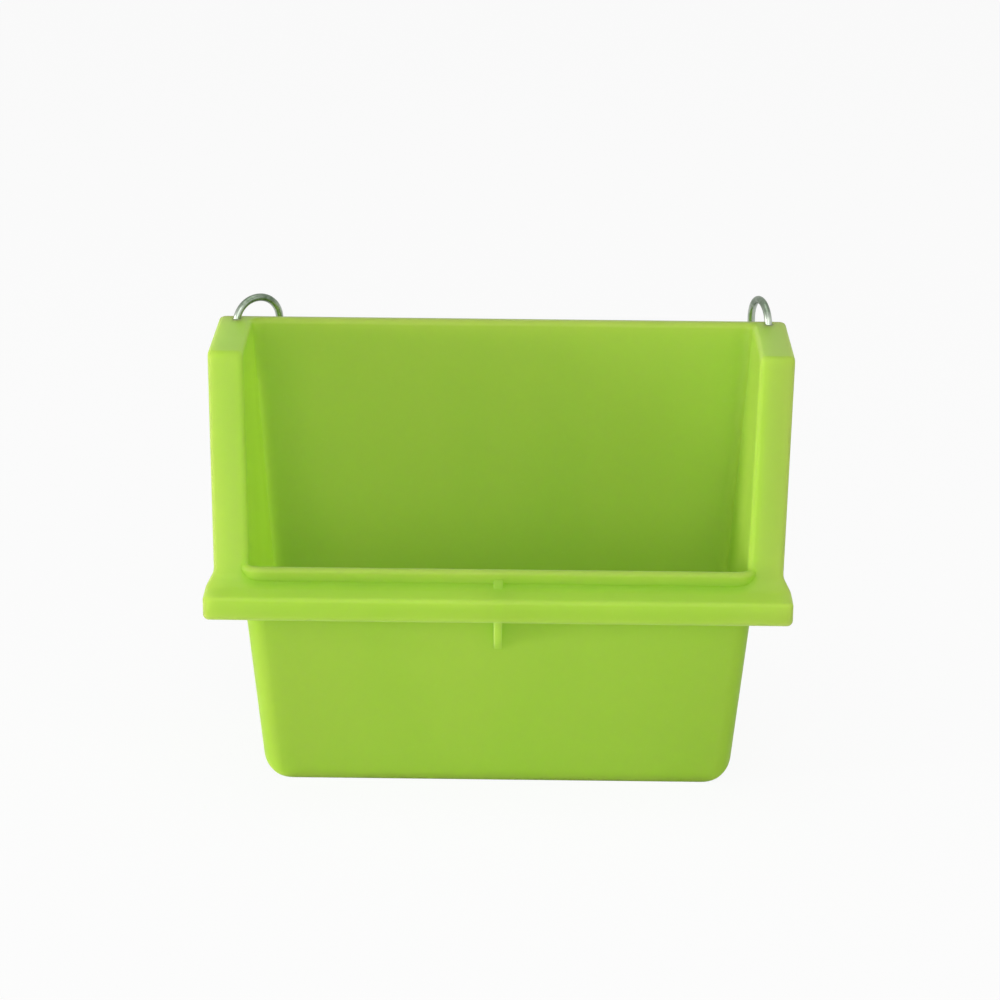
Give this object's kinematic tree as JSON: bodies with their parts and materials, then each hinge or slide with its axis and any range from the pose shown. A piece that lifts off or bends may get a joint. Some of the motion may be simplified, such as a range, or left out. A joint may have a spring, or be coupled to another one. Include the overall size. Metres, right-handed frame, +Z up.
{
  "type": "hook-on pet bowl",
  "caption": "Wide moulded bin-shaped bowl with a tall flat back, sloping side wings, a low front lip and wire hooks that turn in the wing tops to hang it on a cage.",
  "frame": {"origin": "middle of the flat base that the bowl stands on", "axes": "+X to the right seen from the front, +Y to the back, where the bowl hangs, +Z up"},
  "size_m": [0.1498, 0.0883, 0.1173],
  "materials": {
    "bowl_plastic": "smooth moulded",
    "hook_wire": "bright plated wire"
  },
  "bodies": {
    "bowl": {"bowl": "bowl_plastic"},
    "left_hook": {"left_hook": "hook_wire"},
    "right_hook": {"right_hook": "hook_wire"}
  },
  "joints": [
    {"name": "left_hook_turn", "type": "hinge", "parent": "bowl", "child": "left_hook", "pos_m": [-0.0703, 0.0218, 0.11], "axis": [0, 0, 1], "range_deg": [-13, 205]},
    {"name": "right_hook_turn", "type": "hinge", "parent": "bowl", "child": "right_hook", "pos_m": [0.0703, 0.0218, 0.11], "axis": [0, 0, 1], "range_deg": [-164, 52]}
  ]
}
